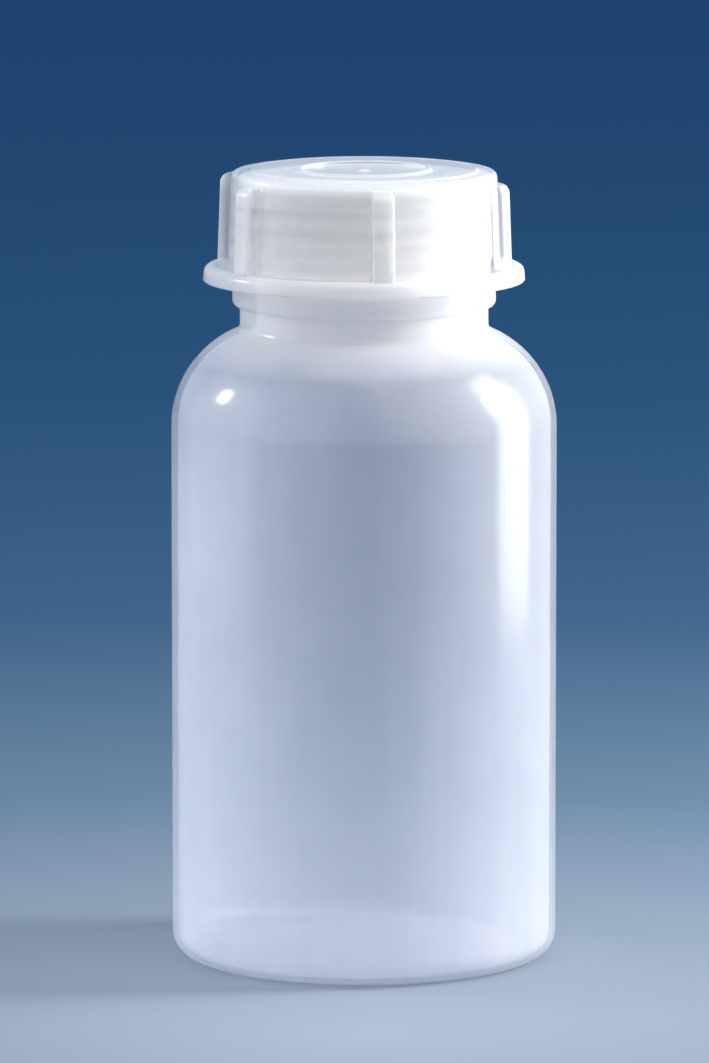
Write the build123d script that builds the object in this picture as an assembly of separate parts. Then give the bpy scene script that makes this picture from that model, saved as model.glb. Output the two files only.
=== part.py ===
from build123d import *
import os
from math import asin, degrees, pi, sqrt

# A wide-mouth 500 ml laboratory bottle in translucent plastic: a blow-moulded bottle with a threaded
# neck, a moulded screw cap with grip ribs and a hand flange, and a loose sealing disc inside the cap.
#
# Millimetres. The origin is the centre of the base, on the plane that the bottle stands on. +Z runs
# up the bottle's axis and -Y is its front. Angles are about +Z, counter-clockwise from +X, in degrees.
# Outlines are drawn as (radius, height) and turned about the axis.

# Bottle body
BODY_RADIUS = 37.5          # outside of the straight wall
WALL = 1.2                  # blow-moulded wall of the body, the shoulder and the heel
SHOULDER_START = 104.6      # height where the straight wall ends
SHOULDER_RADIUS = 20.0      # outside rounding of the shoulder
HEEL_RADIUS = 5.0           # outside rounding between the wall and the base
RING_WIDTH = 3.0            # flat ring that touches the table
PUSH_UP = 2.0               # height of the dished base above the table, at its middle
BASE_THICKNESS = 1.6        # at the middle of the base

# Neck, and the threaded finish above its collar
THREAD_CORE = 22.9          # outside of the finish between the ridges
NECK_WALL = 2.0             # wall of the finish, down to its clear bore
NECK_STEP = 1.25            # how much wider the plain neck is than the finish
NECK_LENGTH = 4.6           # plain neck between the shoulder and the collar
NECK_FILLET = 1.0           # crease between the shoulder and the neck
COLLAR_PROUD = 1.45         # how far the collar stands out from the plain neck
COLLAR_HEIGHT = 4.3
COLLAR_ROUND = 1.2          # rounding of the collar's lower edge
COLLAR_TO_RIM = 19.2
EDGE_ROUND = 0.5            # rounding of the rim and of the collar's upper edge

# Screw thread, right-handed and of one start
PITCH = 4.0
RIDGE_HEIGHT = 1.5          # how far a ridge stands out from its wall
RIDGE_FOOT = 2.2            # width of a ridge at its wall
RIDGE_CREST = 0.9           # width of a ridge at its crest
RIDGE_ROOT = 0.4            # how deep a ridge is rooted in its wall
THREAD_CLEARANCE = 0.25     # radial gap between a crest and the wall it faces
NECK_TURNS = 3.2            # length of the ridge on the neck
CAP_TURNS = 2.0             # length of the ridge inside the cap
THREAD_END = -60.0          # direction in which both ridges end, at the top
RIM_TO_THREAD = 1.6         # from the rim down to the middle of the neck's ridge at its top end

# Sealing disc
DISC_THICKNESS = 1.4
DISC_CLEARANCE = 0.3        # radial gap between the disc and the skirt
DISC_EDGE = 0.3             # rounding of the disc's edges
SEAT_GAP = 0.05             # gap on each side of the disc, to the rim and to the ceiling of the cap

# Screw cap
COLLAR_GAP = 0.6            # gap left under the tight cap, above the collar
SKIRT_WALL = 1.15           # wall of the skirt at its top
SKIRT_DRAFT = 0.7           # how much wider the skirt is at the flange
SKIRT_ROUND = 1.2           # rounding between the ledge and the skirt
MOUTH_ROUND = 0.4           # rounding of the cap's lower inside edge
TOP_THICKNESS = 1.65        # from the ceiling to the top ring
RING_INSET = 3.7            # from the outside of the skirt in to the edge of the top ring
RING_BAND = 3.6             # width of the flat top ring
RING_STEP = 0.4             # drop from the top ring to the ledge round it
DISH_DEPTH = 0.3            # how far the top falls from the top ring to the foot of the lip
LIP_RADIUS = 12.1           # inside of the lip round the middle recess
LIP_WIDTH = 0.9
LIP_RISE = 0.2              # how far the lip stands above the top ring
RECESS_DEPTH = 0.6          # from the lip down to the floor of the recess
FLANGE_OVERHANG = 4.8       # how far the hand flange stands out from the skirt
FLANGE_HEIGHT = 3.0
FLANGE_DRAFT = 0.25         # how much narrower the flange is at its upper edge
FLANGE_ROUND = 1.3          # rounding of the flange's upper edge

# Grip ribs
RIB_COUNT = 6
RIB_ANGLE = -82.65          # direction of the first rib
RIB_WIDTH = 4.2
RIB_PROUD = 3.8             # how far a rib stands out from the skirt
RIB_DROP = 0.9              # from the ledge down to the inner end of a rib's top edge
RIB_FALL = 0.8              # how far a rib's top edge falls on its way out
RIB_CORNER = 1.9            # rounding of a rib's outer top corner
RIB_EDGE = 0.4              # rounding of a rib's long outer edges

# Heights that follow
shoulder_centre = BODY_RADIUS - SHOULDER_RADIUS
neck_radius = THREAD_CORE + NECK_STEP
bore_radius = THREAD_CORE - NECK_WALL
neck_start = SHOULDER_START + sqrt(SHOULDER_RADIUS**2 - (neck_radius - shoulder_centre) ** 2)
collar_bottom = neck_start + NECK_LENGTH
collar_top = collar_bottom + COLLAR_HEIGHT
rim = collar_top + COLLAR_TO_RIM
thread_top = rim - RIM_TO_THREAD
ceiling = rim + DISC_THICKNESS + 2 * SEAT_GAP
top_ring = ceiling + TOP_THICKNESS
ledge = top_ring - RING_STEP
cap_bottom = collar_top + COLLAR_GAP
flange_top = cap_bottom + FLANGE_HEIGHT

# Radii that follow
skirt_inside = THREAD_CORE + RIDGE_HEIGHT + THREAD_CLEARANCE
skirt_top = skirt_inside + SKIRT_WALL
skirt_bottom = skirt_top + SKIRT_DRAFT
flange_radius = skirt_bottom + FLANGE_OVERHANG
ring_radius = skirt_top - RING_INSET


def turned(outline, *rounds):
    """The solid turned from a closed outline, once its ((radius, height), rounding) corners are rounded."""
    face = make_face(outline)
    for corner, rounding in rounds:
        face = fillet(face.vertices().sort_by_distance(corner)[0], rounding)
    return revolve(Plane.XZ * face, Axis.Z)


def body_outline(inset, middle_inset, neck, top):
    """The bottle's outline at a depth inside its outer skin, up to a neck of one radius and a flat top."""
    ring_outside = BODY_RADIUS - HEEL_RADIUS
    ring_inside = ring_outside - RING_WIDTH
    dish_middle = PUSH_UP + middle_inset
    dish_rise = dish_middle - inset
    dish_radius = (ring_inside**2 + dish_rise**2) / (2 * dish_rise)
    dish_half = degrees(asin(ring_inside / dish_radius))
    shoulder = SHOULDER_RADIUS - inset
    shoulder_turn = 90 - degrees(asin((neck - shoulder_centre) / shoulder))
    wall = BODY_RADIUS - inset

    outline = CenterArc((0, dish_middle - dish_radius), dish_radius, 90 - dish_half, dish_half)
    outline += Line((ring_inside, inset), (ring_outside, inset))
    outline += CenterArc((ring_outside, HEEL_RADIUS), HEEL_RADIUS - inset, -90, 90)
    outline += Line((wall, HEEL_RADIUS), (wall, SHOULDER_START))
    arc = CenterArc((shoulder_centre, SHOULDER_START), shoulder, 0, shoulder_turn)
    outline += arc
    outline += Polyline(arc @ 1, (neck, top), (0, top), (0, dish_middle))
    return outline


def thread_ridge(wall_radius, crest_radius, end_height, turns):
    """A right-handed ridge of trapezoid section, rooted in a wall, whose top end is at THREAD_END."""
    root = wall_radius + RIDGE_ROOT if crest_radius < wall_radius else wall_radius - RIDGE_ROOT
    foot, crest = RIDGE_FOOT / 2, RIDGE_CREST / 2
    section = Plane.XZ * make_face(
        Polyline(
            (root, -foot),
            (wall_radius, -foot),
            (crest_radius, -crest),
            (crest_radius, crest),
            (wall_radius, foot),
            (root, foot),
            close=True,
        )
    )
    rise = PITCH * turns
    ridge = sweep(section, path=Helix(PITCH, rise, wall_radius), is_frenet=True)
    return Pos(Z=end_height - rise) * Rot(Z=THREAD_END - 360 * turns) * ridge


def bottle():
    """The blow-moulded bottle: dished base, straight wall, round shoulder, collar and threaded neck."""
    skin = turned(
        body_outline(0, 0, neck_radius, collar_bottom + COLLAR_HEIGHT / 2),
        ((neck_radius, neck_start), NECK_FILLET),
    )
    collar_radius = neck_radius + COLLAR_PROUD
    collar = turned(
        Polyline(
            (0, collar_bottom),
            (collar_radius, collar_bottom),
            (collar_radius, collar_top),
            (0, collar_top),
            close=True,
        ),
        ((collar_radius, collar_bottom), COLLAR_ROUND),
        ((collar_radius, collar_top), EDGE_ROUND),
    )
    finish = turned(
        Polyline((0, collar_bottom), (THREAD_CORE, collar_bottom), (THREAD_CORE, rim), (0, rim), close=True),
        ((THREAD_CORE, rim), EDGE_ROUND),
    )
    ridge = thread_ridge(THREAD_CORE, THREAD_CORE + RIDGE_HEIGHT, thread_top, NECK_TURNS)
    hollow = turned(body_outline(WALL, BASE_THICKNESS, bore_radius, rim + 1))
    return skin + collar + finish + ridge - hollow


def grip_rib():
    """One grip rib, standing out along +X: a plate rooted in the skirt and the flange."""
    root = skirt_inside + SKIRT_WALL / 2
    foot = cap_bottom + FLANGE_HEIGHT / 2
    top = ledge - RIB_DROP
    outside_top = (skirt_top + RIB_PROUD, top - RIB_FALL)
    side = make_face(
        Polyline((root, foot), (skirt_bottom + RIB_PROUD, foot), outside_top, (root, top), close=True)
    )
    side = fillet(side.vertices().sort_by_distance(outside_top)[0], RIB_CORNER)
    rib = extrude(Plane.XZ * side, RIB_WIDTH / 2, both=True)
    long_edges = rib.edges().filter_by(
        lambda edge: edge.center().X > root + RIB_PROUD / 4 and abs(edge.center().Y) > RIB_WIDTH / 4
    )
    return fillet(long_edges.filter_by(lambda edge: edge.center().Z > foot + RIB_EDGE), RIB_EDGE)


def screw_cap():
    """The moulded cap: ribbed skirt with a hand flange, dished top with a lipped recess, inside thread."""
    lip_outside = LIP_RADIUS + LIP_WIDTH
    lip_top = top_ring + LIP_RISE
    recess_floor = lip_top - RECESS_DEPTH
    shell = turned(
        Polyline(
            (0, recess_floor),
            (LIP_RADIUS, recess_floor),
            (LIP_RADIUS, lip_top),
            (lip_outside, lip_top),
            (lip_outside + LIP_WIDTH / 2, top_ring - DISH_DEPTH),
            (ring_radius - RING_BAND, top_ring),
            (ring_radius, top_ring),
            (ring_radius + RING_STEP, ledge),
            (skirt_top, ledge),
            (skirt_bottom, flange_top),
            (flange_radius - FLANGE_DRAFT, flange_top),
            (flange_radius, cap_bottom),
            (skirt_inside, cap_bottom),
            (skirt_inside, ceiling),
            (0, ceiling),
            close=True,
        ),
        ((skirt_top, ledge), SKIRT_ROUND),
        ((flange_radius - FLANGE_DRAFT, flange_top), FLANGE_ROUND),
        ((skirt_inside, cap_bottom), MOUTH_ROUND),
    )
    for number in range(RIB_COUNT):
        shell += Rot(Z=RIB_ANGLE + 360 / RIB_COUNT * number) * grip_rib()
    ridge = thread_ridge(skirt_inside, skirt_inside - RIDGE_HEIGHT, thread_top - PITCH / 2, CAP_TURNS)
    return shell + ridge


def sealing_disc():
    """The loose disc that the cap presses onto the rim."""
    disc_radius = skirt_inside - DISC_CLEARANCE
    disc = Cylinder(disc_radius, DISC_THICKNESS, align=(Align.CENTER, Align.CENTER, Align.MIN))
    return Pos(Z=rim + SEAT_GAP) * fillet(disc.edges().filter_by(GeomType.CIRCLE), DISC_EDGE)


pieces = {"bottle": bottle(), "screw_cap": screw_cap(), "sealing_disc": sealing_disc()}

os.makedirs("parts", exist_ok=True)
for node, shape in pieces.items():
    export_step(shape, f"parts/{node}.step")

brimful = turned(body_outline(WALL, BASE_THICKNESS, bore_radius, rim))
print(f"brimful volume {brimful.volume / 1000:.0f} ml, height {top_ring + LIP_RISE:.2f} mm")
print(f"thread lead {PITCH / (2 * pi):.6f} mm per radian")
print(f"thread crest radius {THREAD_CORE + RIDGE_HEIGHT:.2f} mm")
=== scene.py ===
import math

import bmesh
import bpy
from mathutils import Matrix, Vector, noise


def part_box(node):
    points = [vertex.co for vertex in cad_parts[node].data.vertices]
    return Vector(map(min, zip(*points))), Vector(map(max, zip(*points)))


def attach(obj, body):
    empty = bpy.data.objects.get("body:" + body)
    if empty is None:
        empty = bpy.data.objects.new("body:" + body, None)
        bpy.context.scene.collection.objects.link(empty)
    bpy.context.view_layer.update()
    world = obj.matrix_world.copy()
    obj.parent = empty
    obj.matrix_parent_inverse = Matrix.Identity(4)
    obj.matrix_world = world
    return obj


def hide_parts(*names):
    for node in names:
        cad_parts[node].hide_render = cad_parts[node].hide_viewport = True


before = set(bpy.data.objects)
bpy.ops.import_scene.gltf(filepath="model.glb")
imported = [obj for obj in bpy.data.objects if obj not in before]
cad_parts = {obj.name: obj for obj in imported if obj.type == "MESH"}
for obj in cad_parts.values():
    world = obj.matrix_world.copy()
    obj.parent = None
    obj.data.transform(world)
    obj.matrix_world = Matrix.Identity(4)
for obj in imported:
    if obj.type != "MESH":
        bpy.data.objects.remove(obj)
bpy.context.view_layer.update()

MM = 0.001


# Bottle. It is blow-moulded in one piece from natural low-density polyethylene, so its wall is thin
# and a little uneven inside, and it keeps the mould's parting line and the pinched weld under its
# base. The ridge of its screw thread is moulded with it.
BODY_RADIUS = 37.5
WALL = 1.2
HEEL = 5.0
RING_INSIDE = 29.5
PUSH_UP = 2.0
BASE_MIDDLE = 1.6
SHOULDER_START = 104.6
SHOULDER = 20.0
NECK_RADIUS = 24.15
COLLAR_RADIUS = 25.6
CORE_RADIUS = 22.9
MOUTH_RADIUS = 20.9
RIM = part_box("bottle")[1][2] / MM
COLLAR_TOP = RIM - 19.2
COLLAR_BOTTOM = COLLAR_TOP - 4.3
THREAD_TOP = RIM - 1.6
THREAD_FOOT = COLLAR_TOP + 2
NECK_TURNS = 3.2
PITCH = 4.0
RIDGE_PROUD = 1.5
RIDGE_FOOT = 1.1
RIDGE_CREST = 0.45
RIDGE_FADE = 0.12
RIDGE_END = -60.0
PARTING_ANGLE = -12.0
SEAM_WIDTH = 0.22
SEAM_PROUD = 0.06
WELD_REACH = 22.0
WELD_WIDTH = 0.8
WELD_PROUD = 0.4
WELD_FADE = 2.0
UNEVEN = 0.1
WAVES_PER_METRE = 45
COLUMNS = 240
SHARP_ANGLE = 40


class Outline:
    """The section of a turned wall, as (radius, height) in millimetres, drawn with a few corners and arcs."""

    def __init__(self, radius, height):
        self.mesh = bmesh.new()
        self.rounds = []
        self.end = Vector((radius * MM, 0, height * MM))
        self.mesh.verts.new(self.end)

    def vert(self, place):
        return min(self.mesh.verts, key=lambda v: (v.co - place).length)

    def to(self, radius, height, rounding=0, cuts=0):
        """A straight run to a corner of that rounding, divided by some cuts."""
        start, self.end = self.end, Vector((radius * MM, 0, height * MM))
        run = self.mesh.edges.new((self.vert(start), self.mesh.verts.new(self.end)))
        if cuts:
            bmesh.ops.bisect_edges(self.mesh, edges=[run], cuts=cuts)
        if rounding:
            self.round(rounding)

    def round(self, rounding):
        """Marks the last corner to be rounded before the spin."""
        self.rounds.append((self.end, rounding))

    def arc(self, radius, height, degrees, steps):
        """An arc about a centre, counter-clockwise where the radius runs right and the height up."""
        turned = bmesh.ops.spin(
            self.mesh, geom=[self.vert(self.end)], cent=(radius * MM, 0, height * MM), axis=(0, -1, 0),
            angle=math.radians(degrees), steps=steps,
        )
        self.end = next(v.co.copy() for v in turned["geom_last"] if isinstance(v, bmesh.types.BMVert))

    def spin(self, first_angle=0.0):
        """Rounds the corners and spins the section about the bottle's axis into a closed wall."""
        for corner, rounding in self.rounds:
            bmesh.ops.bevel(
                self.mesh, geom=[self.vert(corner)], offset=rounding * MM, offset_type="OFFSET", segments=4,
                profile=0.5, affect="VERTICES", material=-1, clamp_overlap=True,
            )
        start = Matrix.Rotation(math.radians(first_angle), 3, "Z")
        bmesh.ops.rotate(self.mesh, verts=self.mesh.verts, cent=(0, 0, 0), matrix=start)
        bmesh.ops.spin(
            self.mesh, geom=self.mesh.verts[:] + self.mesh.edges[:], cent=(0, 0, 0), axis=(0, 0, 1),
            angle=2 * math.pi, steps=COLUMNS, use_merge=True,
        )
        bmesh.ops.remove_doubles(self.mesh, verts=self.mesh.verts, dist=0.002 * MM)
        bmesh.ops.recalc_face_normals(self.mesh, faces=self.mesh.faces)
        return self.mesh


def thread_height(angle, height, top, turns):
    """How far a right-handed ridge stands out at a place on its wall, in millimetres. The ridge ends
    at its top in the direction RIDGE_END and fades out at both ends. RIDGE_FOOT and RIDGE_CREST are
    half the width at its foot and at its crest, and RIDGE_FADE is a part of a turn."""
    behind = (RIDGE_END - angle) / 360 % 1
    nearest = round((top - height) / PITCH - behind)
    along = min(max(nearest, 0), math.floor(turns - behind)) + behind
    off = abs(height - (top - PITCH * along))
    flank = min(max((RIDGE_FOOT - off) / (RIDGE_FOOT - RIDGE_CREST), 0), 1)
    ends = min(max(min(along, turns - along) / RIDGE_FADE, 0), 1)
    return RIDGE_PROUD * flank * flank * (3 - 2 * flank) * math.sqrt(ends)


def finished(mesh, name):
    """A named piece from a mesh, smooth but for its sharp edges."""
    data = bpy.data.meshes.new(name)
    mesh.to_mesh(data)
    mesh.free()
    data.shade_smooth()
    data.set_sharp_from_angle(angle=math.radians(SHARP_ANGLE))
    piece = bpy.data.objects.new(name, data)
    bpy.context.scene.collection.objects.link(piece)
    return piece


class Varying:
    """A number that varies over a surface. Sums and products of these add Math nodes to the finish."""

    def __init__(self, finish, socket):
        self.finish, self.socket = finish, socket

    def combined(self, operation, first, second):
        return self.finish.node("ShaderNodeMath", {"operation": operation}, {0: first, 1: second})

    def __add__(self, other):
        return self.combined("ADD", self, other)

    def __sub__(self, other):
        return self.combined("SUBTRACT", self, other)

    def __rsub__(self, other):
        return self.combined("SUBTRACT", other, self)

    def __mul__(self, other):
        return self.combined("MULTIPLY", self, other)

    __radd__ = __add__
    __rmul__ = __mul__


class Finish:
    """A material, or the studio's own light, that is built up from nodes."""

    def __init__(self, name, owner=None):
        self.material = owner or bpy.data.materials.new(name)
        self.material.use_nodes = True
        self.material.node_tree.nodes.clear()

    def node(self, kind, settings, inputs, output=0):
        """Adds a node. Its settings are set first, then its sockets get a value or a link. The setting
        called stops holds a ramp's stops, each a position and a colour."""
        node = self.material.node_tree.nodes.new(kind)
        for name, value in settings.items():
            if name != "stops":
                setattr(node, name, value)
                continue
            for _ in value[2:]:
                node.color_ramp.elements.new(0.5)
            for element, (position, colour) in zip(node.color_ramp.elements, value):
                element.position, element.color = position, (*colour, 1)
        for name, value in inputs.items():
            if isinstance(value, Varying):
                self.material.node_tree.links.new(value.socket, node.inputs[name])
            else:
                node.inputs[name].default_value = value
        return Varying(self, node.outputs[output]) if node.outputs else None

    def place(self):
        return self.node("ShaderNodeTexCoord", {}, {}, "Object")

    def noise(self, size, detail=2.0, stretch=(1, 1, 1)):
        """Noise from 0 to 1 whose lumps are about that many millimetres across."""
        place = self.node("ShaderNodeMapping", {}, {"Vector": self.place(), "Scale": stretch})
        return self.node("ShaderNodeTexNoise", {}, {"Vector": place, "Scale": 1000 / size, "Detail": detail})

    def blend(self, amount, first, second):
        """A colour between two colours."""
        return self.node("ShaderNodeMix", {"data_type": "RGBA"}, {0: amount, 6: first, 7: second}, 2)

    def height(self):
        return self.node("ShaderNodeSeparateXYZ", {}, {0: self.place()}, "Z")

    def rise(self, value, start, end):
        """0 before the start and 1 past the end, in millimetres. The start may be the larger."""
        span = {"From Min": start * MM, "From Max": end * MM}
        return self.node("ShaderNodeMapRange", {}, {"Value": value, **span})

    def slant(self):
        """0 where the surface faces the eye, 1 where it is seen edge on."""
        return self.node("ShaderNodeLayerWeight", {}, {"Blend": 0.5}, "Facing")

    def mixed(self, share, first, second):
        """A shader between two shaders."""
        return self.node("ShaderNodeMixShader", {}, {0: share, 1: first, 2: second})

    def wear(self, piece, surface):
        self.node("ShaderNodeOutputMaterial", {}, {"Surface": surface})
        piece.data.materials.clear()
        piece.data.materials.append(self.material)


def moulded_bottle():
    """The wall with the thread's ridge, the pinched weld, the parting line and an uneven inside. The
    vertices of the inside are marked as cooled in air: they are duller than what touched the mould."""
    dish_radius = (RING_INSIDE**2 + PUSH_UP**2) / (2 * PUSH_UP)
    dish_turn = math.degrees(math.asin(RING_INSIDE / dish_radius))
    shoulder_centre = BODY_RADIUS - SHOULDER
    shoulder_turn = math.degrees(math.acos((NECK_RADIUS - shoulder_centre) / SHOULDER))
    inner_shoulder = SHOULDER - WALL
    bore_turn = math.degrees(math.acos((MOUTH_RADIUS - shoulder_centre) / inner_shoulder))
    bore_foot = SHOULDER_START + inner_shoulder * math.sin(math.radians(bore_turn))
    heel_centre = BODY_RADIUS - HEEL
    floor_middle = PUSH_UP + BASE_MIDDLE
    floor_rise = floor_middle - WALL
    floor_radius = (RING_INSIDE**2 + floor_rise**2) / (2 * floor_rise)
    floor_turn = math.degrees(math.asin(RING_INSIDE / floor_radius))

    outline = Outline(0, PUSH_UP)
    outline.arc(0, PUSH_UP - dish_radius, -dish_turn, 24)
    outline.to(heel_centre, 0)
    outline.arc(heel_centre, HEEL, 90, 10)
    outline.to(BODY_RADIUS, SHOULDER_START, cuts=30)
    outline.arc(shoulder_centre, SHOULDER_START, shoulder_turn, 24)
    outline.round(1.0)
    outline.to(NECK_RADIUS, COLLAR_BOTTOM, rounding=0.3)
    outline.to(COLLAR_RADIUS, COLLAR_BOTTOM, rounding=1.1)
    outline.to(COLLAR_RADIUS, COLLAR_TOP, rounding=0.5)
    outline.to(CORE_RADIUS, COLLAR_TOP, rounding=0.4)
    outline.to(CORE_RADIUS, THREAD_FOOT)
    outline.to(CORE_RADIUS, RIM - 0.5, cuts=90)
    outline.to(CORE_RADIUS, RIM, rounding=0.45)
    outline.to(MOUTH_RADIUS, RIM, rounding=0.5)
    outline.to(MOUTH_RADIUS, bore_foot, rounding=0.8, cuts=6)
    outline.arc(shoulder_centre, SHOULDER_START, -bore_turn, 20)
    outline.to(BODY_RADIUS - WALL, HEEL, cuts=30)
    outline.arc(heel_centre, HEEL, -90, 10)
    outline.to(RING_INSIDE, WALL)
    outline.arc(0, floor_middle - floor_radius, floor_turn, 20)
    mesh = outline.spin()

    parting_turn = math.radians(PARTING_ANGLE)
    across = Vector((-math.sin(parting_turn), math.cos(parting_turn), 0))
    column_gap = 2 * math.pi / COLUMNS
    air_cooled = mesh.verts.layers.float.new("air_cooled")
    mesh.normal_update()
    for v in mesh.verts:
        radius, height = v.co.xy.length / MM, v.co.z / MM
        if radius < 0.01:
            continue
        out = Vector((v.co.x, v.co.y, 0)).normalized()
        facing = v.normal.dot(out)
        off_seam = v.co.dot(across) / MM
        on_wall = radius > NECK_RADIUS - 0.5 and height < COLLAR_TOP - 0.2
        inside = facing < -0.05 if height > floor_middle + 0.1 else v.normal.z > 0.05
        v[air_cooled] = 1.0 if inside else 0.0
        if height > THREAD_FOOT - 0.1 and radius > CORE_RADIUS - 0.1:
            angle = math.degrees(math.atan2(v.co.y, v.co.x))
            v.co += out * thread_height(angle, height, THREAD_TOP, NECK_TURNS) * MM
        elif height < PUSH_UP + 0.2 and radius < WELD_REACH and abs(off_seam) < WELD_WIDTH:
            ends = min(1, (WELD_REACH - radius) / WELD_FADE)
            v.co.z -= WELD_PROUD * (1 - (off_seam / WELD_WIDTH) ** 2) * ends * MM
        elif on_wall and facing > 0.3 and abs(off_seam) < radius * column_gap * 0.5:
            v.co += out * SEAM_PROUD * MM
        elif on_wall and facing > 0.3 and abs(off_seam) < radius * column_gap * 1.5:
            v.co -= across * (off_seam - math.copysign(SEAM_WIDTH, off_seam)) * MM
        elif facing < -0.3 and HEEL < height < COLLAR_BOTTOM:
            v.co += out * UNEVEN * noise.noise(v.co * WAVES_PER_METRE) * MM
    return finished(mesh, "blown_bottle")


BOTTLE_SHADE = (0.93, 0.88, 0.845, 1)
BOTTLE_PALE = (0.955, 0.905, 0.87, 1)
BOTTLE_CLEAR = (0.96, 0.972, 1.0, 1)
THICK_FROM = 117.0
THICK_TO = 126.0


def milky_plastic(finish, colour, roughness, reach, spread, normal):
    """The share of the light that is scattered in the wall, without a gloss of its own."""
    scatter = {
        "Subsurface Weight": 1.0, "Subsurface Radius": spread, "Subsurface Scale": reach,
        "Specular IOR Level": 0.0,
    }
    looks = {"Base Color": colour, "Roughness": roughness, "Normal": normal}
    return finish.node("ShaderNodeBsdfPrincipled", {}, {**looks, **scatter})


def natural_polyethylene(piece):
    """Milky and see-through: part of the light goes on through the wall, part is scattered in it. The
    wall scatters more of it at the neck, where it is thicker. Only the outside is glossy."""
    finish = Finish("natural_polyethylene")
    cloud = finish.noise(22, 3)
    streak = finish.noise(7, 2, stretch=(1, 1, 0.08))
    grain = finish.noise(0.5, 2)
    relief = {"Strength": 0.1, "Distance": 0.0001, "Height": grain + streak * 2}
    normal = finish.node("ShaderNodeBump", {}, relief)
    slant = finish.slant()
    edge = slant * slant * slant

    colour = finish.blend(cloud, BOTTLE_SHADE, BOTTLE_PALE)
    milky = milky_plastic(finish, colour, cloud * 0.1 + 0.40, 0.003, (0.9, 1.0, 1.1), normal)
    clear = finish.node("ShaderNodeBsdfTransparent", {}, {"Color": BOTTLE_CLEAR})
    thick = finish.rise(finish.height(), THICK_FROM, THICK_TO)
    veil = edge * 0.05 + cloud * 0.04 + streak * 0.03 + thick * 0.36 + 0.105
    wall = finish.mixed(veil, clear, milky)

    air_cooled = finish.node("ShaderNodeAttribute", {"attribute_name": "air_cooled"}, {}, "Fac")
    seen_inside = finish.node("ShaderNodeNewGeometry", {}, {}, "Backfacing")
    outside = (1 - air_cooled) * (1 - seen_inside)
    roughness = cloud * 0.06 + 0.38 - outside * 0.25
    shine = finish.node("ShaderNodeBsdfGlossy", {}, {"Roughness": roughness, "Normal": normal})
    gloss = edge * slant * slant * 0.5 + outside * 0.04 + 0.005
    finish.wear(piece, finish.mixed(gloss, wall, shine))


bottle = moulded_bottle()
natural_polyethylene(bottle)
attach(bottle, "bottle")
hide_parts("bottle")


# Screw cap. It is injection-moulded in natural polypropylene: a drafted skirt with six grip ribs, which
# run down into a broad flange for the hand, and a dished top with a lipped recess and the nub of the
# gate in its middle. Its own ridge runs inside the skirt, half a pitch below the bottle's.
CAP_LOW, CAP_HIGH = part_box("screw_cap")
CAP_BOTTOM = CAP_LOW[2] / MM
LIP_TOP = CAP_HIGH[2] / MM
FLANGE_RADIUS = CAP_HIGH[0] / MM
FLANGE_TOP = CAP_BOTTOM + 3.0
FLANGE_DRAFT = 0.25
LIP_RADIUS = 12.1
LIP_WIDTH = 0.9
LIP_SLOPE = 0.45
RECESS_FLOOR = LIP_TOP - 0.6
NUB_TOP_RADIUS = 0.9
NUB_FOOT_RADIUS = 1.3
NUB_HEIGHT = 0.35
RING_RADIUS = 22.1
RING_BAND = 3.6
RING_TOP = LIP_TOP - 0.2
DISH_FLOOR = RING_TOP - 0.3
LEDGE = RING_TOP - 0.4
CEILING = RING_TOP - 1.65
SKIRT_INSIDE = 24.65
SKIRT_TOP = 25.8
SKIRT_BOTTOM = 26.5
CAP_THREAD_TOP = THREAD_TOP - PITCH / 2
CAP_THREAD_FROM = CAP_BOTTOM + 4
CAP_THREAD_TO = CEILING - 3
CAP_TURNS = 2.0
RIB_COUNT = 6
RIB_ANGLE = -82.65
RIB_WIDTH = 4.2
RIB_PROUD = 3.8
RIB_HEAD = LEDGE - 0.9
RIB_ROUND = 1.6
RIB_EDGE = 0.4


def turned_shell():
    """The cap without its ribs. Its columns of faces are turned by half a gap against the first rib."""
    outline = Outline(0, RECESS_FLOOR + NUB_HEIGHT)
    outline.to(NUB_TOP_RADIUS, RECESS_FLOOR + NUB_HEIGHT - 0.05, rounding=0.2)
    outline.to(NUB_FOOT_RADIUS, RECESS_FLOOR, rounding=0.2)
    outline.to(LIP_RADIUS, RECESS_FLOOR, rounding=0.25, cuts=5)
    outline.to(LIP_RADIUS, LIP_TOP, rounding=0.25)
    outline.to(LIP_RADIUS + LIP_WIDTH, LIP_TOP, rounding=0.25)
    outline.to(LIP_RADIUS + LIP_WIDTH + LIP_SLOPE, DISH_FLOOR, rounding=0.2)
    outline.to(RING_RADIUS - RING_BAND, RING_TOP, rounding=0.6, cuts=2)
    outline.to(RING_RADIUS, RING_TOP, rounding=0.3, cuts=1)
    outline.to(RING_RADIUS + 0.4, LEDGE, rounding=0.2)
    outline.to(SKIRT_TOP, LEDGE, rounding=1.2)
    outline.to(SKIRT_BOTTOM, FLANGE_TOP, rounding=0.5, cuts=8)
    outline.to(FLANGE_RADIUS - FLANGE_DRAFT, FLANGE_TOP, rounding=1.2)
    outline.to(FLANGE_RADIUS, CAP_BOTTOM, rounding=0.35)
    outline.to(SKIRT_INSIDE, CAP_BOTTOM, rounding=0.4, cuts=2)
    outline.to(SKIRT_INSIDE, CAP_THREAD_FROM)
    outline.to(SKIRT_INSIDE, CAP_THREAD_TO, cuts=80)
    outline.to(SKIRT_INSIDE, CEILING, rounding=0.25)
    outline.to(0, CEILING, cuts=6)
    mesh = outline.spin(RIB_ANGLE + 180 / COLUMNS)
    for v in mesh.verts:
        radius, height = v.co.xy.length / MM, v.co.z / MM
        if CAP_THREAD_FROM - 0.1 < height < CAP_THREAD_TO + 0.1 and radius < SKIRT_INSIDE + 0.1:
            angle = math.degrees(math.atan2(v.co.y, v.co.x))
            out = Vector((v.co.x, v.co.y, 0)).normalized()
            v.co -= out * thread_height(angle, height, CAP_THREAD_TOP, CAP_TURNS) * MM
    return finished(mesh, "ribbed_cap")


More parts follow.
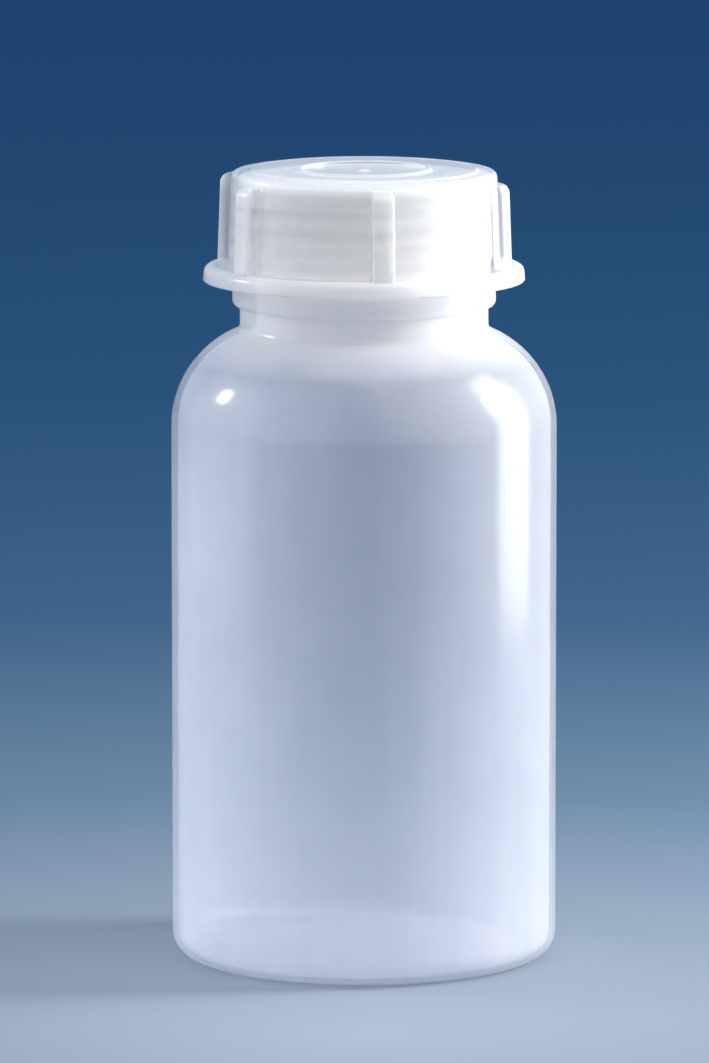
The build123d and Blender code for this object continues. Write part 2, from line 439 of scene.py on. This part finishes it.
def grip_ribs():
    """All the ribs. Each is a plate that is rooted in the skirt and the flange, with rounded edges."""
    root, foot = (SKIRT_INSIDE + SKIRT_TOP) / 2, FLANGE_TOP - 1.5
    corners = (
        (root, foot), (SKIRT_BOTTOM + RIB_PROUD, foot),
        (SKIRT_TOP + RIB_PROUD, RIB_HEAD - 0.8), (root, RIB_HEAD),
    )
    mesh = bmesh.new()
    side = mesh.faces.new([mesh.verts.new((radius * MM, 0, height * MM)) for radius, height in corners])
    mesh.verts.ensure_lookup_table()
    bmesh.ops.bevel(
        mesh, geom=[mesh.verts[2]], offset=RIB_ROUND * MM, offset_type="OFFSET", segments=8, profile=0.5,
        affect="VERTICES", material=-1,
    )
    bmesh.ops.translate(mesh, verts=mesh.verts, vec=(0, -RIB_WIDTH / 2 * MM, 0))
    pushed = bmesh.ops.extrude_face_region(mesh, geom=mesh.faces[:])
    far_side = [v for v in pushed["geom"] if isinstance(v, bmesh.types.BMVert)]
    bmesh.ops.translate(mesh, verts=far_side, vec=(0, RIB_WIDTH * MM, 0))
    bmesh.ops.recalc_face_normals(mesh, faces=mesh.faces)
    on_side = 0.95 * RIB_WIDTH * MM
    long_edges = [
        e for e in mesh.edges
        if e.calc_face_angle() > 1 and abs(sum(v.co.y for v in e.verts)) > on_side
        and max(v.co.x for v in e.verts) > (root + 1) * MM
        and max(v.co.z for v in e.verts) > (foot + 1) * MM
    ]
    bmesh.ops.bevel(
        mesh, geom=long_edges, offset=RIB_EDGE * MM, offset_type="OFFSET", segments=3, profile=0.5,
        affect="EDGES", material=-1,
    )
    first = Matrix.Rotation(math.radians(RIB_ANGLE), 3, "Z")
    bmesh.ops.rotate(mesh, verts=mesh.verts, cent=(0, 0, 0), matrix=first)
    bmesh.ops.spin(
        mesh, geom=mesh.verts[:] + mesh.edges[:] + mesh.faces[:], cent=(0, 0, 0), axis=(0, 0, 1),
        angle=2 * math.pi * (RIB_COUNT - 1) / RIB_COUNT, steps=RIB_COUNT - 1, use_duplicate=True,
    )
    bmesh.ops.recalc_face_normals(mesh, faces=mesh.faces)
    return finished(mesh, "grip_ribs")


def joined(shell, ribs):
    """The ribs made one with the shell, as they are moulded."""
    union = shell.modifiers.new("ribs", "BOOLEAN")
    union.operation = "UNION"
    union.solver = "EXACT"
    union.object = ribs
    solid = bpy.data.meshes.new_from_object(shell.evaluated_get(bpy.context.evaluated_depsgraph_get()))
    shell.modifiers.remove(union)
    old, shell.data = shell.data, solid
    bpy.data.meshes.remove(old)
    bpy.data.objects.remove(ribs)
    solid.set_sharp_from_angle(angle=math.radians(SHARP_ANGLE))
    solid.name = shell.name
    return shell


CAP_SHADE = (0.975, 0.94, 0.90, 1)
CAP_PALE = (0.99, 0.96, 0.925, 1)
CAP_CLEAR = (0.98, 0.98, 0.98, 1)


def natural_polypropylene(piece):
    """Whiter than the bottle and less see-through. The wall scatters most where the neck stands behind
    the skirt, where the thread's ridge makes it thicker, and at the ribs' and the flange's outer edge.
    The floor of the recess is polished."""
    finish = Finish("natural_polypropylene")
    cloud = finish.noise(14, 3)
    grain = finish.noise(0.4, 2)
    normal = finish.node("ShaderNodeBump", {}, {"Strength": 0.08, "Distance": 0.0001, "Height": grain})
    slant = finish.slant()
    edge = slant * slant * slant
    x, y = (finish.node("ShaderNodeSeparateXYZ", {}, {0: finish.place()}, side) for side in "XY")
    height = finish.height()
    flat = finish.node("ShaderNodeVectorMath", {"operation": "MULTIPLY"}, {0: finish.place(), 1: (1, 1, 0)})
    radius = finish.node("ShaderNodeVectorMath", {"operation": "LENGTH"}, {0: flat}, "Value")

    outmost = finish.rise(radius, SKIRT_BOTTOM + 1.9, SKIRT_BOTTOM + 2.8)
    below_ledge = finish.rise(height, LEDGE - 1, LEDGE - 2.2)
    skirt = finish.rise(radius, SKIRT_BOTTOM + 0.4, SKIRT_BOTTOM) * below_ledge
    around = finish.node("ShaderNodeMath", {"operation": "ARCTAN2"}, {0: y, 1: x})
    winding = height * (2 * math.pi / (PITCH * MM)) - around
    ridge = finish.node("ShaderNodeMath", {"operation": "SINE"}, {0: winding}) * 0.5 + 0.5

    colour = finish.blend(cloud, CAP_SHADE, CAP_PALE)
    milky = milky_plastic(finish, colour, cloud * 0.08 + 0.40, 0.002, (1.0, 1.0, 1.0), normal)
    clear = finish.node("ShaderNodeBsdfTransparent", {}, {"Color": CAP_CLEAR})
    veil = edge * 0.3 + cloud * 0.04 + skirt * 0.18 + skirt * ridge * 0.07 + outmost * 0.22 + 0.12
    wall = finish.mixed(veil, clear, milky)

    recess = finish.rise(radius, LIP_RADIUS - 0.05, LIP_RADIUS - 0.1)
    polished = recess * finish.rise(height, RECESS_FLOOR - 0.45, RECESS_FLOOR - 0.4)
    roughness = cloud * 0.06 + 0.18 - polished * 0.12
    shine = finish.node("ShaderNodeBsdfGlossy", {}, {"Roughness": roughness, "Normal": normal})
    gloss = edge * slant * slant * 0.8 + 0.04 + edge * polished * 0.12
    finish.wear(piece, finish.mixed(gloss, wall, shine))


cap = joined(turned_shell(), grip_ribs())
natural_polypropylene(cap)
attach(cap, "cap")
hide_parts("screw_cap")


# Sealing disc. It is punched from white foamed polyethylene sheet and lies loose under the cap's
# ceiling. The rim has pressed a shallow ring into its underside.
DISC_LOW, DISC_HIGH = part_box("sealing_disc")
DISC_RADIUS = DISC_HIGH[0] / MM
DISC_BOTTOM = DISC_LOW[2] / MM
DISC_TOP = DISC_HIGH[2] / MM
PRINT_DEPTH = 0.15
PRINT_SLOPE = 0.5
FOAM_SHADE = (0.78, 0.79, 0.79, 1)
FOAM_WHITE = (0.88, 0.88, 0.87, 1)


def punched_disc():
    outline = Outline(0, DISC_BOTTOM)
    outline.to(MOUTH_RADIUS - PRINT_SLOPE, DISC_BOTTOM, rounding=0.3, cuts=8)
    outline.to(MOUTH_RADIUS, DISC_BOTTOM + PRINT_DEPTH, rounding=0.2)
    outline.to(CORE_RADIUS, DISC_BOTTOM + PRINT_DEPTH, rounding=0.2)
    outline.to(CORE_RADIUS + PRINT_SLOPE, DISC_BOTTOM, rounding=0.2)
    outline.to(DISC_RADIUS, DISC_BOTTOM, rounding=0.3)
    outline.to(DISC_RADIUS, DISC_TOP, rounding=0.3)
    outline.to(0, DISC_TOP, cuts=8)
    return finished(outline.spin(), "foam_disc")


def white_foam(piece):
    """Dull, with the foam's cells as a fine relief."""
    finish = Finish("white_foam")
    cells = finish.noise(0.4, 2)
    colour = finish.blend(cells, FOAM_SHADE, FOAM_WHITE)
    normal = finish.node("ShaderNodeBump", {}, {"Strength": 0.4, "Distance": 0.0002, "Height": cells})
    looks = {"Base Color": colour, "Roughness": cells * 0.2 + 0.5, "Normal": normal}
    finish.wear(piece, finish.node("ShaderNodeBsdfPrincipled", {}, looks))


disc = punched_disc()
white_foam(disc)
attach(disc, "seal")
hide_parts("sealing_disc")


# Floor. A sheet of plain pale paper that the bottle stands on. Away from the bottle it fades to a soft
# blue, because the clear plastic takes its colour from what is behind it.
FLOOR_RADIUS = 6.0
PALE_SPOT = (0, 0.08, 0)
FADE = (
    (0.00, (0.250, 0.285, 0.335)),
    (0.07, (0.155, 0.195, 0.245)),
    (0.13, (0.085, 0.135, 0.190)),
    (0.25, (0.036, 0.083, 0.155)),
    (0.45, (0.022, 0.075, 0.155)),
    (0.90, (0.020, 0.078, 0.190)),
)


def studio_floor():
    """The fade is counted from a spot just in front of the bottle, and its last stop is 1.8 m away."""
    mesh = bmesh.new()
    bmesh.ops.create_circle(mesh, cap_ends=True, segments=96, radius=FLOOR_RADIUS)
    floor = finished(mesh, "floor")
    finish = Finish("floor_paper")
    place = finish.node("ShaderNodeMapping", {}, {"Vector": finish.place(), "Location": PALE_SPOT})
    distance = finish.node("ShaderNodeVectorMath", {"operation": "LENGTH"}, {0: place}, "Value")
    colour = finish.node("ShaderNodeValToRGB", {"stops": FADE}, {"Fac": distance * 0.5}, "Color")
    looks = {"Base Color": colour, "Roughness": 0.85, "Specular IOR Level": 0.0}
    finish.wear(floor, finish.node("ShaderNodeBsdfPrincipled", {}, looks))


studio_floor()


# Studio light. A strong soft lamp stands high on the right, and a tall softbox near the bottle on the
# same side draws the long highlight. A dim card and a small lamp stand to the left, and two wide
# softboxes hang above and behind. The room is pale in front of the bottle and bluish behind it.
ROOM_PALE = (0.93, 0.93, 0.94, 1)
ROOM_BLUE = (0.22, 0.31, 0.45, 1)
ROOM_STRENGTH = 1.17
MIDDLE = 0.08


def soft_light(name, azimuth, distance, height, width, tall, power, aim=MIDDLE):
    """A soft light that is turned to a height on the axis. Its azimuth is counted to the right from
    the camera's side."""
    data = bpy.data.lights.new(name, "AREA")
    data.shape, data.size, data.size_y, data.energy = "RECTANGLE", width, tall, power
    light = bpy.data.objects.new(name, data)
    turn = math.radians(azimuth)
    light.location = (distance * math.sin(turn), -distance * math.cos(turn), height)
    light.rotation_euler = (Vector((0, 0, aim)) - light.location).to_track_quat("-Z", "Y").to_euler()
    bpy.context.scene.collection.objects.link(light)


soft_light("key", azimuth=96, distance=1.2, height=0.60, width=0.30, tall=0.30, power=20)
soft_light("right_softbox", azimuth=98, distance=0.42, height=0.26, width=0.20, tall=0.50, power=3, aim=0.26)
soft_light("left_card", azimuth=-96, distance=0.40, height=0.21, width=0.42, tall=0.40, power=0.45, aim=0.21)
soft_light("left_lamp", azimuth=-103, distance=0.8, height=0.47, width=0.09, tall=0.14, power=2.0)
soft_light("overhead_softbox", azimuth=60, distance=0.05, height=0.95, width=0.7, tall=0.7, power=2.2)
soft_light("back_softbox", azimuth=178, distance=1.1, height=1.0, width=0.9, tall=0.7, power=0.9)

room = Finish("studio", bpy.data.worlds.new("studio"))
direction = room.node("ShaderNodeTexCoord", {}, {}, "Generated")
depth = room.node("ShaderNodeSeparateXYZ", {}, {0: direction}, "Y")
smooth = {"interpolation_type": "SMOOTHSTEP"}
behind = room.node("ShaderNodeMapRange", smooth, {"Value": depth, "From Min": -0.9, "From Max": 0.5})
walls = {"Color": room.blend(behind, ROOM_PALE, ROOM_BLUE), "Strength": ROOM_STRENGTH}
room.node("ShaderNodeOutputWorld", {}, {"Surface": room.node("ShaderNodeBackground", {}, walls)})

scene = bpy.context.scene
scene.world = room.material
scene.view_settings.view_transform = "Standard"
scene.cycles.transparent_max_bounces = 24
scene.cycles.diffuse_bounces = 8


# Camera. A long lens a little above the cap.
LOOK_DOWN = 8.53

camera_data = bpy.data.cameras.new("camera")
camera_data.sensor_width = 36.0
camera_data.lens = 324.9
camera_data.clip_end = 30.0
camera = bpy.data.objects.new("camera", camera_data)
camera.location = (-1.86 * MM, -1850 * MM, 361 * MM)
camera.rotation_euler = (math.radians(90 - LOOK_DOWN), 0, 0)
scene.collection.objects.link(camera)
scene.camera = camera
